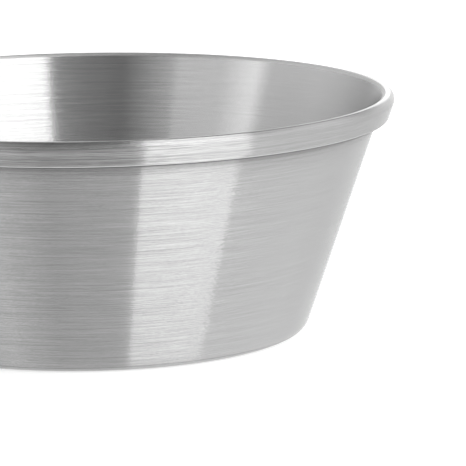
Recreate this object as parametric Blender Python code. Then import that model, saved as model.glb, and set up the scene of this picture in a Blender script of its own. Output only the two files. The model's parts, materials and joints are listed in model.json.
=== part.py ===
"""Deep round cake pan: flared side with a flat bead at its rim, the hoop in the bead, and a loose base.

The pan stands on the plane z = 0 with its axis on Z. Sizes are in millimetres and become metres where
the meshes are made. Every piece is a section of (radius, height) points turned about Z.
"""

from math import asin, atan2, ceil, cos, hypot, pi, radians, sin, tan

import bmesh
import bpy

# Side: flared wall, bend at the foot, and the ledge turned in under the base
RIM_DIAMETER = 200.0
FOOT_DIAMETER = 140.8
PAN_DEPTH = 77.5
SIDE_SHEET = 0.8
FOOT_BEND_RADIUS = 5.5
LEDGE_WIDTH = 10.0

# Bead: the top of the side folded out over a flat crest, down, and in again at the toe
BEAD_THICKNESS = 4.2
BEAD_HEIGHT = 8.3
CREST_INNER_RADIUS = 1.2
CREST_OUTER_RADIUS = 1.6
TOE_RADIUS = 1.0
TOE_GAP = 0.3

# Hoop: a flat strip on edge that stiffens the bead from inside
HOOP_CLEARANCE = 0.3
HOOP_TOP_CLEARANCE = 0.4

# Base: its edge lies on the ledge and its dished middle drops into the hole
BASE_SHEET = 1.0
BASE_SEAT_GAP = 0.3
BASE_SIDE_CLEARANCE = 0.5
BASE_HOLE_CLEARANCE = 0.8
BASE_GROUND_CLEARANCE = 0.4
BASE_STEP_SLOPE = radians(45)
BASE_STEP_BEND = 0.9

# How finely round shapes are divided
TURN_STEPS = 96
BEND_STEP = radians(24)
SHARP_EDGE = radians(35)
MERGE_DISTANCE = 1e-7

MM = 0.001

# Sizes that follow from the ones above
foot_radius = FOOT_DIAMETER / 2
hole_radius = foot_radius - LEDGE_WIDTH
half_sheet = SIDE_SHEET / 2
bead_offset = BEAD_THICKNESS - SIDE_SHEET


def wall_flare():
    """Angle from upright that puts the bead's outside at the rim diameter."""
    run = RIM_DIAMETER / 2 - CREST_OUTER_RADIUS - foot_radius
    rise = PAN_DEPTH - CREST_OUTER_RADIUS
    return atan2(run, rise) - asin((bead_offset - CREST_OUTER_RADIUS) / hypot(run, rise))


flare = wall_flare()
UP = (sin(flare), cos(flare))
OUT = (cos(flare), -sin(flare))
ledge_flat_radius = foot_radius - FOOT_BEND_RADIUS * tan((pi / 2 - flare) / 2)


def off_wall(out, height):
    """Point at a height and at a square distance out from the middle of the wall's sheet."""
    return foot_radius + height * tan(flare) + (out - half_sheet) / cos(flare), height


def shifted(point, out, up=0.0):
    """Point moved square to the wall and along it."""
    return point[0] + out * OUT[0] + up * UP[0], point[1] + out * OUT[1] + up * UP[1]


def toe_corner():
    """Corner of the sheet's middle line that puts the toe's lowest point at the bead's height."""
    bend = TOE_RADIUS - half_sheet
    centre_height = PAN_DEPTH - BEAD_HEIGHT + TOE_RADIUS
    return off_wall(bead_offset, centre_height + bend * (OUT[1] - UP[1]))


def bent_line(corners):
    """Points of a line with their left normals, each corner (radius, height, bend) being an arc."""
    headings = [atan2(b[1] - a[1], b[0] - a[0]) for a, b in zip(corners, corners[1:])]
    points = [(*corners[0][:2], headings[0])]
    for (r, z, bend), before, after in zip(corners[1:-1], headings, headings[1:]):
        turn = (after - before + pi) % (2 * pi) - pi
        curve = bend if turn > 0 else -bend
        reach = bend * tan(abs(turn) / 2)
        centre_r = r - reach * cos(before) - curve * sin(before)
        centre_z = z - reach * sin(before) + curve * cos(before)
        steps = max(2, ceil(abs(turn) / BEND_STEP))
        for i in range(steps + 1):
            heading = before + turn * i / steps
            points.append((centre_r + curve * sin(heading), centre_z - curve * cos(heading), heading))
    points.append((*corners[-1][:2], headings[-1]))
    return [(r, z, -sin(heading), cos(heading)) for r, z, heading in points]


def sheet_section(corners, thickness):
    """Section of a bent sheet: the right side of its middle line, then the left side back again."""
    line = bent_line(corners)
    right = [(r - u * thickness / 2, z - v * thickness / 2) for r, z, u, v in line]
    left = [(r + u * thickness / 2, z + v * thickness / 2) for r, z, u, v in line]
    return right + left[::-1]


def turned(name, section, material):
    """Closed mesh of a section spun about Z. A section that reaches the axis closes on it."""
    shape = bmesh.new()
    points = [shape.verts.new((r * MM, 0, z * MM)) for r, z in section]
    pairs = zip(points, points[1:] + points[:1])
    lines = [shape.edges.new(pair) for pair in pairs if max(end.co.x for end in pair) > 0]
    bmesh.ops.spin(
        shape, geom=points + lines, axis=(0, 0, 1), angle=2 * pi, steps=TURN_STEPS, use_merge=True
    )
    bmesh.ops.remove_doubles(shape, verts=shape.verts, dist=MERGE_DISTANCE)
    bmesh.ops.recalc_face_normals(shape, faces=shape.faces)
    mesh = bpy.data.meshes.new(name)
    shape.to_mesh(mesh)
    shape.free()
    mesh.materials.append(material)
    mesh.shade_smooth()
    mesh.set_sharp_from_angle(angle=SHARP_EDGE)
    bpy.context.collection.objects.link(bpy.data.objects.new(name, mesh))


def metal(name, grey, roughness):
    """Bare metal of a neutral colour."""
    material = bpy.data.materials.new(name)
    material.use_nodes = True
    shader = material.node_tree.nodes["Principled BSDF"]
    shader.inputs["Base Color"].default_value = (grey, grey, grey, 1.0)
    shader.inputs["Metallic"].default_value = 1.0
    shader.inputs["Roughness"].default_value = roughness
    return material


def make_side():
    """Ledge, foot bend, flared wall and bead, all one sheet."""
    toe = toe_corner()
    toe_reach = bead_offset - half_sheet - TOE_GAP
    corners = [
        (hole_radius, half_sheet, 0),
        (*off_wall(0, half_sheet), FOOT_BEND_RADIUS - half_sheet),
        (*off_wall(0, PAN_DEPTH - half_sheet), CREST_INNER_RADIUS - half_sheet),
        (*off_wall(bead_offset, PAN_DEPTH - half_sheet), CREST_OUTER_RADIUS - half_sheet),
        (*toe, TOE_RADIUS - half_sheet),
        (*shifted(toe, -toe_reach), 0),
    ]
    turned("flared_side", sheet_section(corners, SIDE_SHEET), metal("satin_steel", 0.60, 0.30))


def make_hoop():
    """Strip that stands in the bead, clear of the toe below it and of the crest above it."""
    thickness = bead_offset - SIDE_SHEET - 2 * HOOP_CLEARANCE
    top_height = PAN_DEPTH - SIDE_SHEET - HOOP_TOP_CLEARANCE + thickness / 2 * OUT[1]
    bottom = shifted(toe_corner(), -bead_offset / 2, half_sheet + HOOP_CLEARANCE)
    top = off_wall(bead_offset / 2, top_height)
    section = sheet_section([(*bottom, 0), (*top, 0)], thickness)
    turned("rim_hoop", section, metal("plain_steel", 0.42, 0.50))


def make_base():
    """Disc with its edge above the ledge and its middle pressed down into the hole."""
    edge_height = SIDE_SHEET + BASE_SEAT_GAP + BASE_SHEET / 2
    middle_height = BASE_GROUND_CLEARANCE + BASE_SHEET / 2
    step_run = (edge_height - middle_height) / tan(BASE_STEP_SLOPE)
    step_top = hole_radius - BASE_HOLE_CLEARANCE - BASE_SHEET / 2 * tan(BASE_STEP_SLOPE / 2)
    corners = [
        (0, middle_height, 0),
        (step_top - step_run, middle_height, BASE_STEP_BEND),
        (step_top, edge_height, BASE_STEP_BEND),
        (ledge_flat_radius - BASE_SIDE_CLEARANCE, edge_height, 0),
    ]
    turned("loose_base", sheet_section(corners, BASE_SHEET), metal("turned_steel", 0.62, 0.28))


def main():
    for old in list(bpy.data.objects):
        bpy.data.objects.remove(old)
    make_side()
    make_hoop()
    make_base()


main()
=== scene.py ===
"""Finished surfaces, brushed metal and studio of a deep round cake pan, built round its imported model.

The file is laid out as an add-on. Property groups hold the sizes, the finish and the studio, one
operator makes each piece, and one makes the stage. Everything is in metres, with the pan's axis on Z.
A section is a closed line of points (radius, height) that is turned about that axis.
"""

import json
from math import asin, atan2, cos, hypot, pi, radians, sin, tan

import bpy
import numpy as np
from bpy.props import FloatProperty, IntProperty, PointerProperty
from mathutils import Matrix, Vector

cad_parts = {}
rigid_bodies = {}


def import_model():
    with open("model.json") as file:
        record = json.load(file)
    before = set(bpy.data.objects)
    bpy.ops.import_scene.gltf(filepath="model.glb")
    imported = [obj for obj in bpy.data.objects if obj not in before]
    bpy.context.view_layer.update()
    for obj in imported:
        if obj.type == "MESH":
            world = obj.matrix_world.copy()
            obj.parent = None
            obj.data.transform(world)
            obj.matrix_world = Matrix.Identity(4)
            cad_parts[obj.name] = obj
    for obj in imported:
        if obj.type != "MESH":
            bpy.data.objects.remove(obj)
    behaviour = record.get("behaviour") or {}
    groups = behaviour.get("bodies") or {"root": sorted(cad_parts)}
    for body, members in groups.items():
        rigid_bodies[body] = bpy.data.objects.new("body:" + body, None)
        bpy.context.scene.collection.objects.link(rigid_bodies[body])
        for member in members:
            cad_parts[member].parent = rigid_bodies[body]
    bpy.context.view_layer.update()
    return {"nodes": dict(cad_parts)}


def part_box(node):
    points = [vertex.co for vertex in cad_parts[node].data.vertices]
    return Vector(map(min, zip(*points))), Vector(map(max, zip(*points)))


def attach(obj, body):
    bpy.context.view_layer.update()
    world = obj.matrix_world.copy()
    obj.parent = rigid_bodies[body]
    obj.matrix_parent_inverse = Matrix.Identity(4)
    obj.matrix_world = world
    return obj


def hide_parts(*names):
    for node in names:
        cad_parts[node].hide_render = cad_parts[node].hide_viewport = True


bl_info = {
    "name": "Round cake pan",
    "version": (1, 0, 0),
    "blender": (4, 5, 0),
    "location": "3D View > Sidebar > Cake Pan",
    "description": "Flared cake pan of brushed sheet with a folded bead and a loose base",
    "category": "Object",
}

for old in list(bpy.data.objects):
    bpy.data.objects.remove(old)
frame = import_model()
side_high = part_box("flared_side")[1]
base_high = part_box("loose_base")[1]

# How finely shapes are divided, where shading breaks, and how near a point is to be on a line
BEND_STEP = radians(6)
CUT_POINTS = 4
STEP_POINTS = 7
SLOPE_POINTS = 6
BOX_ROWS = 25
LONGEST_FACE = 0.004
SHARP_EDGE = radians(40)
ON_LINE = 1e-6

# Kinds of brushed line: length in radians of the turn, width in finest lines, sway across in metres,
# how often it sways in one turn, and its share of the tone
FINE_LINES = (0.45, 1.0, 0.0, 1, 0.45)
SHORT_LINES = (0.012, 1.0, 0.0006, 5, 0.3)
CROSSING_LINES = (0.15, 1.4, 0.0012, 3, 0.25)

# Tones of the darkest and the palest lines, the softer sheen's share of the alpha across the lines,
# and the power by which metal turns white towards its edge
TONE_LOW, TONE_HIGH = 0.35, 0.65
SATIN_SHARE = 0.6
GRAZING_POWER = 5.0

# Angles above level that a face's normal has on the bead's flat, under the bead, where the fold's
# shade is painted in, on the crest and on the lip, with the slack allowed past the wall's own angle
FACING_SLACK = radians(2)
FLAT_HIGHEST = radians(15)
UNDER_PAST_WALL, UNDER_LEVEL = radians(24), radians(170)
CREST_FACING = (radians(68), radians(108))
LIP_FACING = (radians(105), radians(149))

# Distance off the wall and height below the crest at which the bead begins, the share of the sheet
# past which a face is on the inside, and how far above the neck the wall is back on its line
BEAD_OFF_WALL, BEAD_BELOW_CREST = 0.00015, 0.0009
INSIDE_SHARE = 0.9
NECK_END = 0.001

# Numbers of the side's metals, in the order in which its mesh holds them
WALL, BEAD, ROLLED, FOLD_SHADE, INSIDE, WORN, LIP = range(7)


def length(name, description, default):
    """Property for a length in metres."""
    return FloatProperty(
        name=name, description=description, default=default, min=0, precision=5, unit="LENGTH"
    )


def angle(name, description, degrees):
    """Property for an angle, given in degrees."""
    return FloatProperty(
        name=name, description=description, default=radians(degrees), precision=4, unit="ROTATION"
    )


def amount(name, description, default, high=10.0):
    """Property for a plain number."""
    return FloatProperty(name=name, description=description, default=default, min=0, max=high, precision=4)


class PanSizes(bpy.types.PropertyGroup):
    """Sizes of the pan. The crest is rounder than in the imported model, and the neck is only here."""

    rim_diameter: length("Rim diameter", "Across the outside of the bead", round(2 * side_high.x, 4))
    foot_diameter: length("Foot diameter", "Across the wall's line at the floor", 0.1408)
    depth: length("Depth", "From the floor to the crest", side_high.z)
    side_sheet: length("Side sheet", "Thickness of the side's sheet", 0.0008)
    foot_bend: length("Foot bend", "Outer radius of the bend at the foot", 0.0055)
    ledge_width: length("Ledge width", "From the wall's line to the edge of the hole", 0.010)
    bead_thickness: length("Bead thickness", "From the pan's inside to the bead's outside", 0.0042)
    bead_height: length("Bead height", "From the crest to the lowest point of the toe", 0.0083)
    crest_inner: length("Crest inner radius", "Bend from the wall to the crest", 0.0018)
    crest_outer: length("Crest outer radius", "Bend from the crest to the bead's outside", 0.0021)
    toe_radius: length("Toe radius", "Bend at the bead's lower edge", 0.001)
    toe_gap: length("Toe gap", "From the end of the toe to the wall", 0.0003)
    neck_height: length("Neck height", "From the toe down to the line pressed into the wall", 0.0026)
    neck_step: length("Neck step", "How far the wall steps in at that line", 0.0001)
    neck_run: length("Neck run", "Height in which it makes that step", 0.0004)
    neck_slope: amount("Neck slope", "How much more upright the wall is above that line", 0.20)
    base_sheet: length("Base sheet", "Thickness of the loose base", 0.001)
    base_gap: length("Base gap", "From the ledge to the base's underside", 0.0003)
    base_hole_gap: length("Base hole gap", "From the base's dish to the edge of the hole", 0.0008)
    base_ground_gap: length("Base ground gap", "From the floor to the dish's underside", 0.0004)
    base_slope: angle("Base slope", "Slope of the step round the dish", 45)
    base_bend: length("Base bend", "Bend of the step round the dish", 0.0009)
    cut_round: length("Cut edge", "Rounding of a cut edge of sheet", 0.00012)
    turn_steps: IntProperty(name="Turn steps", description="Divisions of the circle", default=384, min=48)


class PanFinish(bpy.types.PropertyGroup):
    """Brushed metal with its lines running round the pan, and painted shade in its grey."""

    grey: amount("Grey", "Share of light that the metal returns", 0.58, 1.0)
    fan_share: amount("Fan share", "Share of the sheen that is a sharp fan across the lines", 0.75, 1.0)
    fan_along: amount("Fan along", "Roughness of the fan along the lines", 0.005, 1.0)
    wall_across: amount("Wall across", "Roughness across the lines on the wall", 0.80, 1.0)
    inside_across: amount("Inside across", "Roughness across the lines on the inside", 0.38, 1.0)
    bead_across: amount("Bead across", "Roughness across the lines on the bead's flat", 0.95, 1.0)
    roll_across: amount("Roll across", "Roughness across the lines on its rolled edges", 0.90, 1.0)
    worn_across: amount("Worn across", "Roughness where the crest and the toe are rubbed smooth", 0.14, 1.0)
    satin_along: amount("Satin along", "Roughness of the softer sheen along the lines", 0.12, 1.0)
    line_width: length("Line width", "Width of the finest brushed lines", 0.00017)
    line_depth: length("Line depth", "Height of the brushed lines", 0.00002)
    line_turn: angle("Line turn", "How far a brushed line may run out of true", 5.0)
    wall_contrast: amount("Wall contrast", "How much the lines change the wall's grey", 0.22, 1.0)
    inside_contrast: amount("Inside contrast", "How much the lines change the inside's grey", 0.16, 1.0)
    bead_contrast: amount("Bead contrast", "How much the lines change the bead's grey", 0.40, 1.0)
    faint_share: amount("Faint share", "Share of the lines' contrast left on the right side", 0.28, 1.0)
    grazing_share: amount("Grazing share", "How far metal turns white where it is seen edge on", 0.35, 1.0)
    # Painted shade: the bead's underside in the fold gets a near-black grey, which draws the dark line
    # under the bead
    fold_shade_grey: amount("Fold grey", "Share of light returned by the dull underside of the bead", 0.03, 1.0)
    hoop_grey: amount("Hoop grey", "Share of light that the hoop returns", 0.42, 1.0)
    lip_grey: amount("Lip grey", "Share of light returned by the bend up to the crest", 0.70, 1.0)
    lip_along: amount("Lip along", "Roughness along the lines on that bend", 0.2, 1.0)
    # Painted shade: the wall's grey is made darker towards the floor, as shade at the foot
    foot_shade_share: amount("Foot share", "Share of the wall's grey that is left at the floor", 0.22, 1.0)
    foot_dark: length("Foot dark", "Height up to which only that share is left", 0.0005)
    foot_clear: length("Foot clear", "Height from which the wall has its whole grey", 0.002)
    # Painted shade: the wall's grey is made darker under the bead, as the bead's shade on the wall
    neck_shade_share: amount("Neck share", "Share of the wall's grey that is left under the bead", 0.87, 1.0)
    neck_shade: length("Neck shade", "From the toe down to where the wall turns duller", 0.0021)
    neck_blend: length("Neck blend", "Height in which it turns duller", 0.0004)


class PanStudio(bpy.types.PropertyGroup):
    """Camera, floor and the light round the pan. Bearings count from the camera's side, to the right."""

    camera_distance: length("Camera distance", "From the lens to the middle of the pan", 1.41894)
    camera_height: angle("Camera height", "Angle above the floor", 9.975)
    camera_yaw: angle("Camera yaw", "Turn of the camera to the right", 1.900)
    camera_pitch: angle("Camera pitch", "Turn of the camera upwards", -0.315)
    camera_roll: angle("Camera roll", "Turn of the camera about its line of sight", -1.043)
    camera_lens: amount("Lens", "Focal length in millimetres on a 36 mm sensor", 335.92, 1000.0)
    floor_grey: amount("Floor grey", "Colour of the floor", 0.62, 1.0)
    floor_lift: amount("Floor lift", "Light added to the floor where the camera sees it", 0.59)
    far_lift: amount("Far lift", "How much more of it the floor has round the softbox and beyond", 0.2)
    metal_lift: amount("Metal lift", "Light added to the floor where the metal sees it", 0.47)
    room_level: amount("Room level", "Light from the right side, near the floor", 1.9)
    upper_level: amount("Upper level", "Light from the right side, higher up", 1.6)
    far_level: amount("Far level", "Light from the right side, higher up and beyond the pan", 0.2)
    back_level: amount("Back level", "Light from beyond the pan, near the floor", 1.9)
    upper_back_level: amount("Upper back level", "Light from beyond the pan, higher up", 0.6)
    gap_level: amount("Gap level", "Light from behind the camera", 0.31)
    gap_low_level: amount("Gap low level", "Light from there, where it is darkest", 0.18)
    gap_edge_level: amount("Gap edge level", "Light from there, at the left end of the dark", 0.66)
    low_gap_level: amount("Low gap level", "Light from that end, near the floor", 1.71)
    fill_level: amount("Fill level", "Light from the left, beside the dark behind the camera", 1.2)
    low_fill_level: amount("Low fill level", "Light from the left there, near the floor", 1.9)
    fill_peak_level: amount("Fill peak level", "Light from the left where it is brightest", 2.1)
    left_level: amount("Left level", "Light from the far left", 1.05)
    left_end_level: amount("Left end level", "Light from the far left, beyond the pan", 0.6825)
    ceiling_level: amount("Ceiling level", "Light from overhead", 0.18)
    gap_left: angle("Gap left", "Bearing where the dark behind the camera begins", -36.5)
    gap_right: angle("Gap right", "Bearing where the dark behind the camera ends, behind the softbox", 40)
    fill_peak: angle("Fill peak", "Bearing where the light from the left is brightest", -73)
    edge_lean: amount("Edge lean", "How far edges of light lean outwards with height", 0.6, 1.0)
    wall_top: angle("Wall top", "Height above the horizon where the light from near the floor ends", 18)
    ceiling_low: angle("Ceiling low", "Height above the horizon where the ceiling begins", 30)
    ceiling_high: angle("Ceiling high", "Height above the horizon where only the ceiling is left", 60)
    box_level: amount("Softbox level", "Light from each point of the softbox", 2.9)
    box_bearing: angle("Softbox bearing", "Bearing of the softbox from the pan's axis", 33.65)
    box_distance: length("Softbox distance", "From the pan's axis to the softbox's foot", 0.360)
    box_tip: angle("Softbox tip", "How far the softbox's top tips towards the pan", 2.14)
    box_height: length("Softbox height", "Up the softbox, from the floor", 0.882)
    box_left_low: length("Softbox left, low", "From its middle to the left edge, at the floor", 0.102)
    box_left_high: length("Softbox left, high", "From its middle to the left edge, at the top", 0.073)
    box_right_low: length("Softbox right, low", "From its middle to the right edge, at the floor", 0.126)
    box_right_high: length("Softbox right, high", "From its middle to the right edge, at the top", 0.490)
    box_right_bend: amount("Softbox right bend", "Power of the height that the right edge follows", 1.7)


def bent_line(corners):
    """Line through corners (radius, height, bend): straight runs joined by arcs.

    An arc that turns by t on radius b starts b tan(t / 2) before its corner, and its points are
    centre + b (sin h, -cos h) for headings h from the first run's to the second's. Returns the points
    and their left normals (-sin h, cos h).
    """
    runs = np.diff([c[:2] for c in corners], axis=0)
    headings = np.arctan2(runs[:, 1], runs[:, 0])
    points = [np.array([[*corners[0][:2], headings[0]]])]
    for (r, z, bend), before, after in zip(corners[1:-1], headings, headings[1:]):
        turn = (after - before + pi) % (2 * pi) - pi
        curve = bend if turn > 0 else -bend
        reach = bend * tan(abs(turn) / 2)
        centre_r = r - reach * cos(before) - curve * sin(before)
        centre_z = z - reach * sin(before) + curve * cos(before)
        h = before + turn * np.linspace(0, 1, max(3, int(abs(turn) / BEND_STEP) + 2))
        points.append(np.stack([centre_r + curve * np.sin(h), centre_z - curve * np.cos(h), h], axis=1))
    points.append(np.array([[*corners[-1][:2], headings[-1]]]))
    line = np.concatenate(points)
    return line[:, :2], np.stack([-np.sin(line[:, 2]), np.cos(line[:, 2])], axis=1)


def sheet_section(corners, thickness, cut, open_start=False):
    """Closed section of a bent sheet: right side of its middle line, rounded cut, left side back.

    Each side is the line plus or minus its normal times half the thickness. With open_start, the line
    starts on the axis and has no cut there.
    """
    middle, normal = bent_line(corners)
    right = middle - normal * thickness / 2
    left = (middle + normal * thickness / 2)[::-1]
    finish = rounded_cut(right[-1], left[0], heading_of(middle[-2], middle[-1]), cut)
    parts = [right[:-1], finish, left[1:]]
    if not open_start:
        start = rounded_cut(left[-1], right[0], heading_of(middle[1], middle[0]), cut)
        parts = [right[1:-1], finish, left[1:-1], start]
    return np.concatenate(parts)


def heading_of(a, b):
    """Unit vector from a to b."""
    return (b - a) / np.hypot(*(b - a))


def rounded_cut(first, last, along, cut):
    """Cut end of a sheet from its first corner to its last, each a quarter circle of radius cut.

    A corner's points are its place plus across * cut * (1 - cos t) plus along * cut * (sin t - 1).
    """
    across = heading_of(first, last)
    t = np.linspace(0, pi / 2, CUT_POINTS)[:, None]
    near = first + across * cut * (1 - np.cos(t)) + along * cut * (np.sin(t) - 1)
    far = last - across * cut * (1 - np.cos(t[::-1])) + along * cut * (np.sin(t[::-1]) - 1)
    return np.concatenate([near, far])


def with_runs_divided(section, longest):
    """Section with even extra points on its straight runs, so that no face is longer than longest."""
    ends = np.roll(section, -1, axis=0)
    gaps = np.hypot(*(ends - section).T)
    counts = np.maximum(1, np.ceil(gaps / longest).astype(int))
    starts = np.repeat(np.arange(len(section)), counts)
    share = (np.arange(counts.sum()) - np.repeat(np.cumsum(counts) - counts, counts)) / counts[starts]
    return section[starts] + (ends - section)[starts] * share[:, None]


def turned_piece(name, section, steps):
    """Surface of revolution: section point (r, z) goes to (r cos a, r sin a, z) for a = 2 pi i / steps.

    Its UV map, Turn, holds the share of the turn and the length along the section in metres.
    A section whose first and last points are on the axis closes there on one vertex at each end.
    """
    r, z = section.T
    poles = r[0] < ON_LINE
    if poles:
        ring_r, ring_z = r[1:-1], z[1:-1]
    else:
        ring_r, ring_z = r, z
    rings = len(ring_r)
    a = 2 * pi * np.arange(steps) / steps
    x, y = np.outer(np.cos(a), ring_r), np.outer(np.sin(a), ring_r)
    co = np.stack([x, y, np.tile(ring_z, (steps, 1))], axis=-1).reshape(-1, 3)
    run = np.concatenate([[0], np.cumsum(np.hypot(*np.diff(section, axis=0).T))])
    whole = run[-1] + np.hypot(*(section[0] - section[-1]))

    # Quads between one step of the turn and the next, with their places on the UV map
    i, j = np.meshgrid(np.arange(steps), np.arange(rings - poles), indexing="ij")
    i, j = i.ravel(), j.ravel()
    i_next, j_next = (i + 1) % steps, (j + 1) % rings
    here, there = i * rings, i_next * rings
    faces = np.stack([here + j, there + j, there + j_next, here + j_next], axis=1)
    low = run[j + poles]
    high = np.where(j_next == 0, whole, run[j_next + poles])
    u0, u1 = i / steps, (i + 1) / steps
    uv = np.stack([u0, low, u1, low, u1, high, u0, high], axis=1)
    faces, uv = faces.tolist(), [uv.ravel()]

    # Triangles round the two poles
    if poles:
        co = np.concatenate([co, [[0, 0, z[0]], [0, 0, z[-1]]]])
        k = np.arange(steps)
        k_next = (k + 1) % steps
        bottom = np.stack([k_next * rings, k * rings, np.full(steps, len(co) - 2)], axis=1)
        top = np.stack([k * rings, k_next * rings, np.full(steps, len(co) - 1)], axis=1)
        top[:, :2] += rings - 1
        faces += bottom.tolist() + top.tolist()
        u0, u1, u_middle = k / steps, (k + 1) / steps, (k + 0.5) / steps
        low_pole, low, high, high_pole = (np.full(steps, run[place]) for place in (0, 1, -2, -1))
        uv.append(np.stack([u1, low, u0, low, u_middle, low_pole], axis=1).ravel())
        uv.append(np.stack([u0, high, u1, high, u_middle, high_pole], axis=1).ravel())

    mesh = bpy.data.meshes.new(name)
    mesh.from_pydata(co.tolist(), [], faces)
    mesh.uv_layers.new(name="Turn").data.foreach_set("uv", np.concatenate(uv).astype(np.float32))
    mesh.shade_smooth()
    mesh.set_sharp_from_angle(angle=SHARP_EDGE)
    piece = bpy.data.objects.new(name, mesh)
    bpy.context.scene.collection.objects.link(piece)
    return piece


class Nodes:
    """Short way to add shader nodes: values set sockets, and outputs of other nodes are linked."""

    def __init__(self, tree):
        self.tree = tree
        tree.nodes.clear()

    def add(self, kind, inputs=None, **settings):
        """New node with its settings, and its inputs by name or number."""
        node = self.tree.nodes.new(kind)
        for key, value in settings.items():
            setattr(node, key, value)
        for key, value in (inputs or {}).items():
            if isinstance(value, bpy.types.NodeSocket):
                self.tree.links.new(value, node.inputs[key])
            else:
                node.inputs[key].default_value = value
        return node

    def math(self, operation, a, b=0.0, c=0.0):
        """Result of a sum on up to three numbers or sockets."""
        return self.add("ShaderNodeMath", {0: a, 1: b, 2: c}, operation=operation).outputs[0]

    def noise(self, vector, scale, detail):
        """Noise of a scale and a detail, at a place."""
        inputs = {"Vector": vector, "Scale": scale, "Detail": detail}
        return self.add("ShaderNodeTexNoise", inputs).outputs[0]

    def ramp(self, value, low, high, from_low=0.0, from_high=1.0, **settings):
        """Value mapped from one range to another, and held at its ends."""
        limits = {0: value, 1: from_low, 2: from_high, 3: low, 4: high}
        return self.add("ShaderNodeMapRange", limits, **settings).outputs[0]


def brushed_metal(
    name, finish, spread, contrast, reach=1.0, grey=None, faint=(0.35, 0.75), shade_fades=(), dull=0.0
):
    """Metal with fine lines round the pan, from noise that is long round the turn and short across it.

    Spread is the alpha across the lines, contrast their share of the grey, and reach makes them longer.
    The lines turn faint between two places on X, which are shares of the radius. Each of the shade_fades
    is two heights and two shares of the grey, and the grey goes from one to the other between the heights,
    which paints shade into the grey.
    Two sheens are mixed. Each is a stretched gloss with alpha a along the lines and b across them,
    which is a roughness of (a b) to the power 1/4 and an anisotropy of 1 - (a / b) to the power 1/2.
    With dull, the softer one is left alone and dull is its alpha along the lines.
    """
    material = bpy.data.materials.new(name)
    material.use_nodes = True
    n = Nodes(material.node_tree)
    split = n.add("ShaderNodeSeparateXYZ", {0: n.add("ShaderNodeUVMap", uv_map="Turn").outputs[0]})
    turn = n.math("MULTIPLY", split.outputs[0], 2 * pi)
    across = split.outputs[1]
    around_x, around_y = n.math("COSINE", turn), n.math("SINE", turn)

    def lines(kind):
        """Streaks of one kind: noise at (cos turn, sin turn) / length and place across / width."""
        long, wide, sway, waves, _ = kind
        x = n.math("MULTIPLY", around_x, 1 / (long * reach))
        y = n.math("MULTIPLY", around_y, 1 / (long * reach))
        place = across
        if sway:
            swing = n.math("MULTIPLY", n.math("SINE", n.math("MULTIPLY", turn, waves)), sway)
            place = n.math("ADD", across, swing)
        w = n.math("MULTIPLY", place, 1 / (wide * finish.line_width))
        return n.noise(n.add("ShaderNodeCombineXYZ", {0: x, 1: y, 2: w}).outputs[0], 1.0, 1.0)

    # Tone of the lines, and the relief that they make
    short = lines(SHORT_LINES)
    tone = n.math("MULTIPLY", lines(FINE_LINES), FINE_LINES[-1])
    tone = n.math("MULTIPLY_ADD", short, SHORT_LINES[-1], tone)
    tone = n.math("MULTIPLY_ADD", lines(CROSSING_LINES), CROSSING_LINES[-1], tone)
    relief = {"Height": tone, "Strength": 1.0, "Distance": finish.line_depth}
    bump = n.add("ShaderNodeBump", relief).outputs[0]

    # Grey of each point: the lines, paler where it is seen edge on, and the shade_fades, which paint shade
    grey = grey or finish.grey
    strength = n.ramp(around_x, 1.0, finish.faint_share, *faint, interpolation_type="SMOOTHSTEP")
    change = n.ramp(tone, -grey * contrast, grey * contrast, TONE_LOW, TONE_HIGH)
    shade = n.math("MULTIPLY_ADD", change, strength, grey)
    edge_on = n.add("ShaderNodeLayerWeight", {0: 0.5}).outputs["Facing"]
    grazing = n.math("POWER", edge_on, GRAZING_POWER)
    whiter = n.math("MULTIPLY", n.math("SUBTRACT", 1.0, shade), finish.grazing_share)
    shade = n.math("MULTIPLY_ADD", whiter, grazing, shade)
    # Painted shade: the grey made darker over bands of height
    if shade_fades:
        where = n.add("ShaderNodeTexCoord").outputs["Object"]
        height = n.add("ShaderNodeSeparateXYZ", {0: where}).outputs[2]
        for low, high, share_low, share_high in shade_fades:
            shade = n.math("MULTIPLY", shade, n.ramp(height, share_low, share_high, low, high))
    colour = n.add("ShaderNodeCombineColor", {0: shade, 1: shade, 2: shade}).outputs[0]

    # Sheens, turned a little where a short line runs out of true
    swing = n.math("MULTIPLY", n.math("SUBTRACT", short, 0.5), finish.line_turn / pi)
    tangent = n.add("ShaderNodeTangent", direction_type="UV_MAP", uv_map="Turn").outputs[0]

    def gloss(along, broad):
        """Stretched gloss from its two alphas."""
        inputs = {"Color": colour, "Normal": bump, "Tangent": tangent, "Rotation": swing}
        inputs["Roughness"] = (along * broad) ** 0.25
        inputs["Anisotropy"] = 1 - (along / broad) ** 0.5
        return n.add("ShaderNodeBsdfAnisotropic", inputs, distribution="MULTI_GGX").outputs[0]

    fan = gloss(finish.fan_along, spread)
    soft = dull or finish.satin_along
    satin = gloss(soft, max(soft, spread * SATIN_SHARE))
    share = 0.0 if dull else finish.fan_share
    sheen = n.add("ShaderNodeMixShader", {0: share, 1: satin, 2: fan}).outputs[0]
    n.add("ShaderNodeOutputMaterial", {"Surface": sheen})
    return material


def finish_piece(piece, material, body, node):
    """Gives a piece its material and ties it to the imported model."""
    piece.data.materials.append(material)
    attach(piece, body)
    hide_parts(node)


def wall_line(s):
    """Radius of the wall's outside at the floor, and its angle from upright.

    The angle puts the bead's outside at the rim's diameter. It is that of the line from the foot to the
    centre of the crest's outer bend, less the angle by which that centre stands off the wall.
    """
    foot = s.foot_diameter / 2
    offset = s.bead_thickness - s.side_sheet
    run = s.rim_diameter / 2 - s.crest_outer - foot
    rise = s.depth - s.crest_outer
    return foot, atan2(run, rise) - asin((offset - s.crest_outer) / hypot(run, rise))


def off_wall(s, distance, height):
    """Point at a height and at a square distance out from the middle of the wall's sheet."""
    foot, flare = wall_line(s)
    return np.array([foot + height * tan(flare) + (distance - s.side_sheet / 2) / cos(flare), height])


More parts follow.
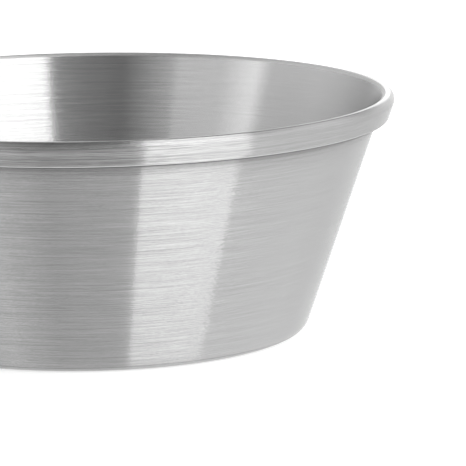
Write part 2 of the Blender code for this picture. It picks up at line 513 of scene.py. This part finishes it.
def side_section(s):
    """Section of the side's one sheet: ledge, foot bend, wall and its neck, crest, bead and toe."""
    foot, flare = wall_line(s)
    half = s.side_sheet / 2
    offset = s.bead_thickness - s.side_sheet
    up = np.array([sin(flare), cos(flare)])
    out = np.array([cos(flare), -sin(flare)])
    toe_bend = s.toe_radius - half
    toe_height = s.depth - s.bead_height + s.toe_radius + toe_bend * (out[1] - up[1])
    toe = off_wall(s, offset, toe_height)
    corners = [
        (foot - s.ledge_width, half, 0),
        (*off_wall(s, 0, half), s.foot_bend - half),
        (*off_wall(s, 0, s.depth - half), s.crest_inner - half),
        (*off_wall(s, offset, s.depth - half), s.crest_outer - half),
        (*toe, toe_bend),
        (*(toe - out * (offset - half - s.toe_gap)), 0),
    ]
    section = sheet_section(corners, s.side_sheet, s.cut_round)
    gaps = np.hypot(*(np.roll(section, -1, axis=0) - section).T)
    on_wall = np.abs(section[:, 0] - foot - section[:, 1] * tan(flare)) < ON_LINE
    longest = int(np.argmax(gaps * on_wall))
    neck = neck_points(s, toe_height - s.side_sheet - s.neck_height)
    return with_runs_divided(np.insert(section, longest + 1, neck, axis=0), LONGEST_FACE)


def neck_points(s, low):
    """Points of the wall's outside round its neck, from a low height up.

    The wall goes in by the neck's step times t * t * (3 - 2 t), where t is the share of the step's run,
    and above it by the neck's slope times the height. The last point is back on the wall's line.
    """
    foot, flare = wall_line(s)
    step = np.linspace(0, s.neck_run, STEP_POINTS)
    rise = np.concatenate([step, np.linspace(s.neck_run * 1.5, s.neck_height, SLOPE_POINTS)])
    t = np.clip(rise / s.neck_run, 0, 1)
    depth = s.neck_step * t ** 2 * (3 - 2 * t) + s.neck_slope * np.maximum(rise - s.neck_run, 0)
    heights = low + rise
    neck = np.stack([foot + heights * tan(flare) - depth / cos(flare), heights], axis=1)
    return np.concatenate([neck, [off_wall(s, s.side_sheet / 2, low + s.neck_height + NECK_END)]])


def side_metals(s, finish):
    """Metals of the side, in the order of their numbers."""
    shade_low = s.depth - s.bead_height - finish.neck_shade
    # Painted shade in the wall's grey, at the foot and under the bead
    shade_fades = (
        # Darker grey towards the floor: painted shade at the foot
        (finish.foot_dark, finish.foot_clear, finish.foot_shade_share, 1.0),
        # Darker grey under the bead: painted shade
        (shade_low, shade_low + finish.neck_blend, 1.0, finish.neck_shade_share),
    )
    wall, inside, bead = finish.wall_contrast, finish.inside_contrast, finish.bead_contrast
    roll = finish.roll_across
    lip = {"reach": 2.0, "grey": finish.lip_grey, "dull": finish.lip_along}
    return (
        brushed_metal("brushed_wall", finish, finish.wall_across, wall, shade_fades=shade_fades),
        brushed_metal("brushed_bead", finish, finish.bead_across, bead, reach=5.0, faint=(0.2, 0.6)),
        brushed_metal("rolled_edge", finish, roll, wall, reach=2.0),
        # Painted shade: near-black grey on the bead's underside, the dark line in the fold
        brushed_metal("fold_painted_shade", finish, roll, wall, reach=2.0, grey=finish.fold_shade_grey),
        brushed_metal("brushed_inside", finish, finish.inside_across, inside, faint=(0.25, 0.6)),
        brushed_metal("worn_edge", finish, finish.worn_across, inside, reach=2.0),
        brushed_metal("rolled_lip", finish, roll, inside, **lip),
    )


def side_kinds(s, section):
    """Number of the metal on each face of the side's section.

    It goes by the angle that a face's normal has above level, and by the square distance of the face's
    middle out from the wall's line.
    """
    foot, flare = wall_line(s)
    following = np.roll(section, -1, axis=0)
    r, z = ((section + following) / 2).T
    facing = np.arctan2(*(following - section).T[::-1]) - pi / 2
    facing = (facing + pi) % (2 * pi) - pi
    distance = (r - foot - z * tan(flare)) * cos(flare)
    past_wall = facing < -flare - FACING_SLACK
    on_bead = (distance > BEAD_OFF_WALL) | (z > s.depth - BEAD_BELOW_CREST)
    bead_flat = on_bead & ~past_wall & (facing < FLAT_HIGHEST)
    # Faces under the bead, which get the painted shade of the fold
    bead_under_shade = on_bead & ((facing < -flare - UNDER_PAST_WALL) | (facing > UNDER_LEVEL))
    crest = (facing > CREST_FACING[0]) & (facing < CREST_FACING[1])
    lip = (z > s.depth - s.crest_inner) & (facing > LIP_FACING[0]) & (facing < LIP_FACING[1])
    inside = ~on_bead & (distance < -s.side_sheet * INSIDE_SHARE)
    places = [lip, bead_flat, bead_under_shade, on_bead & (crest | past_wall), on_bead, inside]
    return np.select(places, [LIP, BEAD, FOLD_SHADE, WORN, ROLLED, INSIDE], WALL)


class PAN_OT_side(bpy.types.Operator):
    """Ledge, foot bend, flared wall and folded bead, all one sheet"""

    bl_idname = "pan.side"
    bl_label = "Flared side"

    def execute(self, context):
        s = context.scene.pan_sizes
        section = side_section(s)
        piece = turned_piece("side_sheet", section, s.turn_steps)
        wall, *others = side_metals(s, context.scene.pan_finish)
        finish_piece(piece, wall, "side", "flared_side")
        for metal in others:
            piece.data.materials.append(metal)
        kinds = np.tile(side_kinds(s, section), s.turn_steps)
        piece.data.polygons.foreach_set("material_index", kinds.astype(np.int32))
        return {"FINISHED"}


class PAN_OT_hoop(bpy.types.Operator):
    """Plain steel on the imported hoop, which the bead hides"""

    bl_idname = "pan.hoop"
    bl_label = "Rim hoop"

    def execute(self, context):
        material = bpy.data.materials.new("rolled_strip")
        material.use_nodes = True
        n = Nodes(material.node_tree)
        where = n.add("ShaderNodeTexCoord").outputs["Object"]
        grey = context.scene.pan_finish.hoop_grey
        rough = n.ramp(n.noise(where, 900.0, 3.0), 0.40, 0.60)
        inputs = {"Base Color": (grey, grey, grey, 1), "Metallic": 1.0, "Roughness": rough}
        steel = n.add("ShaderNodeBsdfPrincipled", inputs)
        n.add("ShaderNodeOutputMaterial", {"Surface": steel.outputs[0]})
        mesh = frame["nodes"]["rim_hoop"].data
        mesh.materials.clear()
        mesh.materials.append(material)
        return {"FINISHED"}


class PAN_OT_base(bpy.types.Operator):
    """Loose base: a disc on the ledge with its middle pressed down into the hole"""

    bl_idname = "pan.base"
    bl_label = "Loose base"

    def execute(self, context):
        s = context.scene.pan_sizes
        half = s.base_sheet / 2
        edge_height = s.side_sheet + s.base_gap + half
        middle_height = s.base_ground_gap + half
        step_run = (edge_height - middle_height) / tan(s.base_slope)
        step_top = s.foot_diameter / 2 - s.ledge_width - s.base_hole_gap - half * tan(s.base_slope / 2)
        corners = [
            (0, middle_height, 0),
            (step_top - step_run, middle_height, s.base_bend),
            (step_top, edge_height, s.base_bend),
            (base_high.x, edge_height, 0),
        ]
        section = sheet_section(corners, s.base_sheet, s.cut_round, open_start=True)
        section = with_runs_divided(section, LONGEST_FACE)[:-1]
        piece = turned_piece("base_disc", section, s.turn_steps)
        finish = context.scene.pan_finish
        metal = brushed_metal("turned_base", finish, finish.wall_across, finish.wall_contrast, reach=1.5)
        finish_piece(piece, metal, "base", "loose_base")
        return {"FINISHED"}


class PAN_OT_stage(bpy.types.Operator):
    """Pale floor, light from every side, and the camera"""

    bl_idname = "pan.stage"
    bl_label = "Stage"

    def execute(self, context):
        studio = context.scene.pan_studio
        make_floor(studio)
        make_world(context.scene, studio)
        make_softbox(context.scene, studio)
        make_camera(context.scene, studio)
        context.scene.view_settings.view_transform = "Standard"
        return {"FINISHED"}


def make_floor(studio):
    """Wide pale disc just under the pan. Light is added to it where the camera or the metal sees it.

    The camera's share rises smoothly from half the softbox's distance to the whole of it, because the
    softbox lights the floor less out there. A point is at (radius cos a, radius sin a, -drop).
    """
    steps, radius, drop = 96, 5.0, 0.00005
    a = 2 * pi * np.arange(steps) / steps
    co = np.stack([radius * np.cos(a), radius * np.sin(a), np.full(steps, -drop)], axis=1)
    mesh = bpy.data.meshes.new("floor")
    mesh.from_pydata(co.tolist(), [], [list(range(steps))])
    material = bpy.data.materials.new("pale_floor")
    material.use_nodes = True
    n = Nodes(material.node_tree)
    path = n.add("ShaderNodeLightPath").outputs
    by_metal = n.math("MULTIPLY", path["Is Glossy Ray"], studio.metal_lift)
    by_lens = n.math("MAXIMUM", path["Is Camera Ray"], path["Is Transmission Ray"])
    where = n.add("ShaderNodeTexCoord").outputs["Object"]
    distance = n.add("ShaderNodeVectorMath", {0: where}, operation="LENGTH").outputs["Value"]
    near, far = studio.floor_lift, studio.floor_lift + studio.far_lift
    reach = studio.box_distance
    lens_lift = n.ramp(distance, near, far, reach * 0.5, reach, interpolation_type="SMOOTHSTEP")
    lift = n.math("MULTIPLY_ADD", by_lens, lens_lift, by_metal)
    lift = n.add("ShaderNodeEmission", {"Strength": lift}).outputs[0]
    grey = studio.floor_grey
    paint = n.add("ShaderNodeBsdfDiffuse", {"Color": (grey, grey, grey, 1)}).outputs[0]
    both = n.add("ShaderNodeAddShader", {0: paint, 1: lift}).outputs[0]
    n.add("ShaderNodeOutputMaterial", {"Surface": both})
    mesh.materials.append(material)
    floor = bpy.data.objects.new("floor", mesh)
    bpy.context.scene.collection.objects.link(floor)


def make_world(scene, studio):
    """Light by bearing and height: dark behind the camera, paler all round it, and a ceiling over both.

    The bearing is drawn in with height, by 1 - lean + lean * cos(height), so edges of light lean
    outwards. The light goes smoothly from one ring of it to the next one up.
    """
    world = bpy.data.worlds.new("studio")
    world.use_nodes = True
    scene.world = world
    n = Nodes(world.node_tree)
    way = n.add("ShaderNodeSeparateXYZ", {0: n.add("ShaderNodeTexCoord").outputs["Generated"]})
    height = n.math("ARCSINE", way.outputs[2])
    bearing = n.math("ARCTAN2", way.outputs[0], n.math("MULTIPLY", way.outputs[1], -1))
    level_part = n.math("SQRT", n.math("SUBTRACT", 1.0, n.math("POWER", way.outputs[2], 2.0)))
    lean = n.math("MULTIPLY_ADD", level_part, studio.edge_lean, 1 - studio.edge_lean)
    share = n.math("MULTIPLY_ADD", n.math("MULTIPLY", bearing, lean), 1 / (2 * pi), 0.5)

    # Stops of bearing and level on the left and behind the camera, with each edge two degrees wide
    edge = radians(1.0)
    top = max(studio.room_level, studio.left_level, studio.fill_peak_level, studio.back_level)
    left = [
        (radians(-150), studio.left_end_level),
        (radians(-110), studio.left_level),
        (studio.fill_peak - radians(8), studio.left_level),
        (studio.fill_peak, studio.fill_peak_level),
        (studio.fill_peak + radians(16), studio.fill_level),
    ]
    gap = [
        (radians(-15), studio.gap_low_level),
        (radians(-6), studio.gap_level),
        (studio.gap_right - edge, studio.gap_level),
    ]

    def ring(fill, gap_edge, right, far, back):
        """Light all round at one height, as stops of bearing and level.

        Fill lies left of the dark and gap_edge is the dark's left end. Right is the right side, far
        lies beyond it and back is straight beyond the pan.
        """
        stops = [(-pi, back), *left, (studio.gap_left - edge, fill), (studio.gap_left + edge, gap_edge)]
        stops += [*gap, (studio.gap_right + edge, right), (radians(110), right)]
        stops += [(radians(135), far), (radians(165), far), (pi, back)]
        node = n.add("ShaderNodeValToRGB", {0: share})
        points = node.color_ramp.elements
        while len(points) < len(stops):
            points.new(0.5)
        for point, (place, level) in zip(points, stops):
            point.position = place / (2 * pi) + 0.5
            point.color = (level / top, level / top, level / top, 1)
        return node.outputs[0]

    def rising(low, high, below, above):
        """Changes from one light to another between two heights."""
        share_above = n.ramp(height, 0.0, 1.0, low, high, interpolation_type="SMOOTHSTEP")
        return n.add("ShaderNodeMix", {0: share_above, 6: below, 7: above}, data_type="RGBA").outputs[2]

    near_floor = ring(
        fill=studio.low_fill_level,
        gap_edge=studio.low_gap_level,
        right=studio.room_level,
        far=studio.back_level,
        back=studio.back_level,
    )
    higher = ring(
        fill=studio.fill_level,
        gap_edge=studio.gap_edge_level,
        right=studio.upper_level,
        far=studio.far_level,
        back=studio.upper_back_level,
    )
    sides = rising(studio.wall_top * 0.5, studio.wall_top * 1.5, near_floor, higher)
    dark = studio.ceiling_level / top
    mixed = rising(studio.ceiling_low, studio.ceiling_high, sides, (dark, dark, dark, 1))
    light = n.add("ShaderNodeBackground", {"Color": mixed, "Strength": top}).outputs[0]
    white = n.add("ShaderNodeBackground", {"Color": (1, 1, 1, 1), "Strength": 1.0}).outputs[0]
    seen = n.add("ShaderNodeLightPath").outputs["Is Camera Ray"]
    both = n.add("ShaderNodeMixShader", {0: seen, 1: light, 2: white}).outputs[0]
    n.add("ShaderNodeOutputWorld", {"Surface": both})


def make_softbox(scene, studio):
    """Upright softbox beside the camera, facing the pan. It is near, so its edges show in the metal.

    Lines of light in the brushed wall are sharp only where the box's edge follows the curve that the
    wall fans out to, and the right edge does: it goes from low to high with a power of the height.
    A point is foot + across a + upward b, for its place a across the board and b up it.
    """
    outward = Vector((sin(studio.box_bearing), -cos(studio.box_bearing), 0))
    across = Vector((0, 0, 1)).cross(outward)
    upward = Vector((0, 0, cos(studio.box_tip))) - outward * sin(studio.box_tip)
    foot = outward * studio.box_distance
    share = np.linspace(0, 1, BOX_ROWS)
    left = -studio.box_left_low + (studio.box_left_low - studio.box_left_high) * share
    spread = studio.box_right_high - studio.box_right_low
    right = studio.box_right_low + spread * share ** studio.box_right_bend
    a = np.stack([left, right], axis=1).reshape(-1, 1)
    b = np.repeat(share * studio.box_height, 2)[:, None]
    points = np.array(foot) + a * np.array(across) + b * np.array(upward)
    row = 2 * np.arange(len(share) - 1)[:, None]
    mesh = bpy.data.meshes.new("softbox")
    mesh.from_pydata(points.tolist(), [], (row + np.array([0, 2, 3, 1])).tolist())
    material = bpy.data.materials.new("softbox_front")
    material.use_nodes = True
    n = Nodes(material.node_tree)
    front = n.math("SUBTRACT", 1.0, n.add("ShaderNodeNewGeometry").outputs["Backfacing"])
    glow = n.add("ShaderNodeEmission", {"Strength": n.math("MULTIPLY", front, studio.box_level)}).outputs[0]
    n.add("ShaderNodeOutputMaterial", {"Surface": glow})
    mesh.materials.append(material)
    box = bpy.data.objects.new("softbox", mesh)
    box.visible_camera = False
    scene.collection.objects.link(box)


def make_camera(scene, studio):
    """Long lens that looks down on the pan, turned until the pan lies at the left of the picture."""
    height = studio.camera_height
    back = Vector((0, -cos(height), sin(height)))
    right = Vector((1, 0, 0))
    forward = -back
    up = right.cross(forward)
    forward, right = turned_pair(forward, right, studio.camera_yaw)
    forward, up = turned_pair(forward, up, studio.camera_pitch)
    right, up = turned_pair(right, up, studio.camera_roll)
    data = bpy.data.cameras.new("camera")
    data.lens = studio.camera_lens
    data.sensor_width = 36.0
    data.clip_start, data.clip_end = 0.05, 50.0
    camera = bpy.data.objects.new("camera", data)
    scene.collection.objects.link(camera)
    middle = Vector((0, 0, scene.pan_sizes.depth / 2))
    axes = Matrix((right, up, -forward)).transposed().to_4x4()
    camera.matrix_world = Matrix.Translation(middle + back * studio.camera_distance) @ axes
    scene.camera = camera


def turned_pair(a, b, by):
    """Two axes turned towards each other: the first towards the second, the second away from it."""
    return cos(by) * a + sin(by) * b, cos(by) * b - sin(by) * a


class PAN_PT_panel(bpy.types.Panel):
    """Buttons for the pan's pieces and its stage, and the values that they use"""

    bl_idname = "PAN_PT_panel"
    bl_label = "Cake Pan"
    bl_space_type = "VIEW_3D"
    bl_region_type = "UI"
    bl_category = "Cake Pan"

    def draw(self, context):
        for operator in OPERATORS:
            self.layout.operator(operator.bl_idname)
        for name, group in GROUPS.items():
            box = self.layout.box()
            for key in group.__annotations__:
                box.prop(getattr(context.scene, name), key)


OPERATORS = (PAN_OT_side, PAN_OT_hoop, PAN_OT_base, PAN_OT_stage)
GROUPS = {"pan_sizes": PanSizes, "pan_finish": PanFinish, "pan_studio": PanStudio}


def register():
    """Adds the classes, and one set of values of each kind to the scene."""
    for group in (*GROUPS.values(), *OPERATORS, PAN_PT_panel):
        bpy.utils.register_class(group)
    for name, group in GROUPS.items():
        setattr(bpy.types.Scene, name, PointerProperty(type=group))


def unregister():
    """Takes away what register added."""
    for name in GROUPS:
        delattr(bpy.types.Scene, name)
    for group in (PAN_PT_panel, *reversed(OPERATORS), *reversed(GROUPS.values())):
        bpy.utils.unregister_class(group)


def main():
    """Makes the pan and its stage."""
    register()
    bpy.ops.pan.side()
    bpy.ops.pan.hoop()
    bpy.ops.pan.base()
    bpy.ops.pan.stage()


if __name__ == "__main__":
    main()
